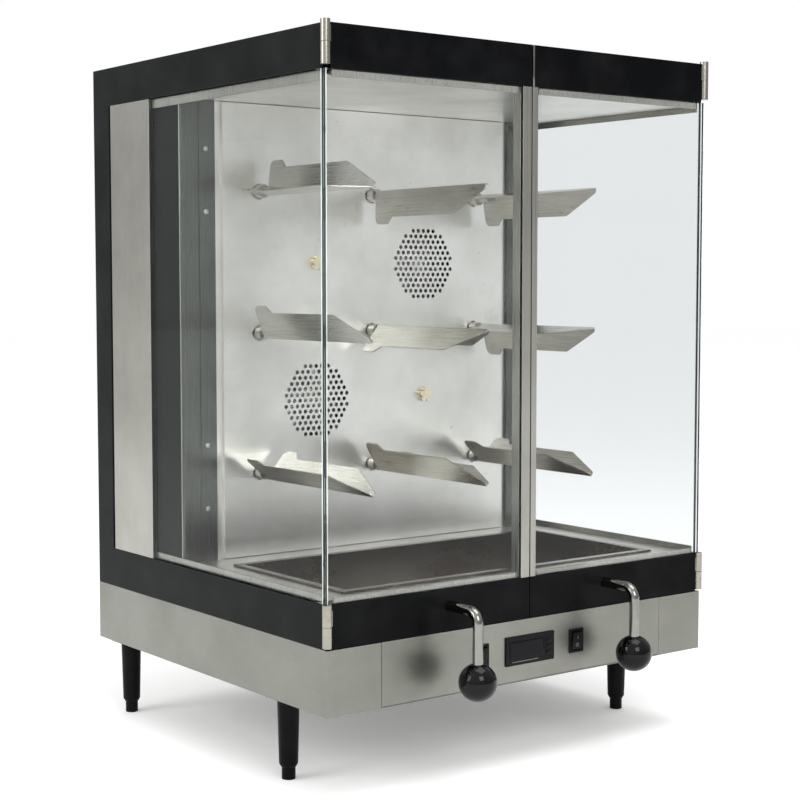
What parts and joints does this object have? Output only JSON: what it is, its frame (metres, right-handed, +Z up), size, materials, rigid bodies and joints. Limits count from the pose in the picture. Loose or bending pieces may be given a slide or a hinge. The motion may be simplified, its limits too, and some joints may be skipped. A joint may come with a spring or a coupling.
{
  "type": "rotisserie oven",
  "caption": "Counter-top glass-fronted rotisserie oven with separate turning spits, paired hinged doors, ball-ended latch handles and a heated fan chamber behind a perforated back wall.",
  "frame": {"origin": "on the counter, under the middle of the whole oven's bounding box", "axes": "+Z up, -Y out of the doors, +X to the right when facing the oven"},
  "size_m": [0.772, 0.8075, 1.107],
  "materials": {
    "stainless": "satin",
    "spit_steel": "satin, food-stained",
    "black_enamel": "gloss",
    "oven_glass": "clear",
    "chrome_plate": "polished",
    "black_ball": "gloss",
    "black_plastic": "matt",
    "brass_screw": "satin",
    "motor_casing": "matt",
    "heater_sheath": "matt",
    "galvanised": "matt"
  },
  "bodies": {
    "cabinet": {"base_housing": "stainless", "control_panel": "stainless", "side_frames": "black_enamel", "top_cover": "black_enamel", "rear_cover": "stainless", "rear_side_panels": "stainless", "side_glasses": "oven_glass", "glazing_strips": "stainless", "ceiling_panel": "stainless", "partition_wall": "stainless", "back_baffle": "stainless", "baffle_nuts": "brass_screw", "corner_channels": "stainless", "cavity_floor": "stainless", "hinge_brackets": "chrome_plate", "fan_motors": "motor_casing", "heating_elements": "heater_sheath", "gearmotor": "motor_casing", "drive_chains": "heater_sheath", "spit_bearings": "brass_screw", "legs": "black_enamel", "feet": "black_enamel", "controller": "black_plastic", "switch_housings": "black_plastic", "cable_gland": "black_plastic"},
    "left_door": {"left_door_rails": "black_enamel", "left_door_glass": "oven_glass", "left_door_stile": "stainless", "left_door_hinges": "chrome_plate"},
    "right_door": {"right_door_rails": "black_enamel", "right_door_glass": "oven_glass", "right_door_stile": "stainless", "right_door_hinges": "chrome_plate"},
    "left_latch": {"left_handle": "chrome_plate", "left_knob": "black_ball"},
    "right_latch": {"right_handle": "chrome_plate", "right_knob": "black_ball"},
    "upper_fan": {"upper_fan_wheel": "galvanised"},
    "lower_fan": {"lower_fan_wheel": "galvanised"},
    "left_switch": {"left_rocker": "black_plastic"},
    "right_switch": {"right_rocker": "black_plastic"},
    "drip_tray": {"drip_pan": "stainless"},
    "spit_1": {"spit_blade_1": "spit_steel", "spit_drive_1": "spit_steel"},
    "spit_2": {"spit_blade_2": "spit_steel", "spit_drive_2": "spit_steel"},
    "spit_3": {"spit_blade_3": "spit_steel", "spit_drive_3": "spit_steel"},
    "spit_4": {"spit_blade_4": "spit_steel", "spit_drive_4": "spit_steel"},
    "spit_5": {"spit_blade_5": "spit_steel", "spit_drive_5": "spit_steel"},
    "spit_6": {"spit_blade_6": "spit_steel", "spit_drive_6": "spit_steel"},
    "spit_7": {"spit_blade_7": "spit_steel", "spit_drive_7": "spit_steel"},
    "spit_8": {"spit_blade_8": "spit_steel", "spit_drive_8": "spit_steel"},
    "spit_9": {"spit_blade_9": "spit_steel", "spit_drive_9": "spit_steel"}
  },
  "joints": [
    {"name": "left_door_hinge", "type": "hinge", "parent": "cabinet", "child": "left_door", "pos_m": [-0.379, -0.30625, 0.6], "axis": [0, 0, -1], "range_deg": [0, 120]},
    {"name": "right_door_hinge", "type": "hinge", "parent": "cabinet", "child": "right_door", "pos_m": [0.379, -0.30625, 0.6], "axis": [0, 0, 1], "range_deg": [0, 120]},
    {"name": "left_latch_turn", "type": "hinge", "parent": "left_door", "child": "left_latch", "pos_m": [-0.16, -0.30825, 0.266], "axis": [0, 1, 0], "range_deg": [0, 90]},
    {"name": "right_latch_turn", "type": "hinge", "parent": "right_door", "child": "right_latch", "pos_m": [0.16, -0.30825, 0.266], "axis": [0, -1, 0], "range_deg": [0, 90]},
    {"name": "upper_fan_spin", "type": "hinge", "parent": "cabinet", "child": "upper_fan", "pos_m": [0.113, 0.13, 0.77775], "axis": [0, 1, 0], "continuous": true},
    {"name": "lower_fan_spin", "type": "hinge", "parent": "cabinet", "child": "lower_fan", "pos_m": [-0.113, 0.13, 0.54725], "axis": [0, 1, 0], "continuous": true},
    {"name": "left_switch_rock", "type": "hinge", "parent": "cabinet", "child": "left_switch", "pos_m": [-0.098, -0.30825, 0.18], "axis": [-1, 0, 0], "range_deg": [0, 16]},
    {"name": "right_switch_rock", "type": "hinge", "parent": "cabinet", "child": "right_switch", "pos_m": [0.098, -0.30825, 0.18], "axis": [-1, 0, 0], "range_deg": [0, 16]},
    {"name": "drip_tray_lift", "type": "slide", "parent": "cabinet", "child": "drip_tray", "axis": [0, 0, 1], "range_m": [0, 0.06]},
    {"name": "spit_1_turn", "type": "hinge", "parent": "cabinet", "child": "spit_1", "pos_m": [-0.226, 0.1, 0.893], "axis": [0, 1, 0], "continuous": true},
    {"name": "spit_2_turn", "type": "hinge", "parent": "cabinet", "child": "spit_2", "pos_m": [0, 0.1, 0.893], "axis": [0, 1, 0], "continuous": true},
    {"name": "spit_3_turn", "type": "hinge", "parent": "cabinet", "child": "spit_3", "pos_m": [0.226, 0.1, 0.893], "axis": [0, 1, 0], "continuous": true},
    {"name": "spit_4_turn", "type": "hinge", "parent": "cabinet", "child": "spit_4", "pos_m": [-0.226, 0.1, 0.6625], "axis": [0, 1, 0], "continuous": true},
    {"name": "spit_5_turn", "type": "hinge", "parent": "cabinet", "child": "spit_5", "pos_m": [0, 0.1, 0.6625], "axis": [0, 1, 0], "continuous": true},
    {"name": "spit_6_turn", "type": "hinge", "parent": "cabinet", "child": "spit_6", "pos_m": [0.226, 0.1, 0.6625], "axis": [0, 1, 0], "continuous": true},
    {"name": "spit_7_turn", "type": "hinge", "parent": "cabinet", "child": "spit_7", "pos_m": [-0.226, 0.1, 0.432], "axis": [0, 1, 0], "continuous": true},
    {"name": "spit_8_turn", "type": "hinge", "parent": "cabinet", "child": "spit_8", "pos_m": [0, 0.1, 0.432], "axis": [0, 1, 0], "continuous": true},
    {"name": "spit_9_turn", "type": "hinge", "parent": "cabinet", "child": "spit_9", "pos_m": [0.226, 0.1, 0.432], "axis": [0, 1, 0], "continuous": true}
  ],
  "couplings": [
    {"joint": "spit_1_turn", "follows": "spit_5_turn", "ratio": 1},
    {"joint": "spit_2_turn", "follows": "spit_5_turn", "ratio": 1},
    {"joint": "spit_3_turn", "follows": "spit_5_turn", "ratio": 1},
    {"joint": "spit_4_turn", "follows": "spit_5_turn", "ratio": 1},
    {"joint": "spit_6_turn", "follows": "spit_5_turn", "ratio": 1},
    {"joint": "spit_7_turn", "follows": "spit_5_turn", "ratio": 1},
    {"joint": "spit_8_turn", "follows": "spit_5_turn", "ratio": 1},
    {"joint": "spit_9_turn", "follows": "spit_5_turn", "ratio": 1}
  ]
}
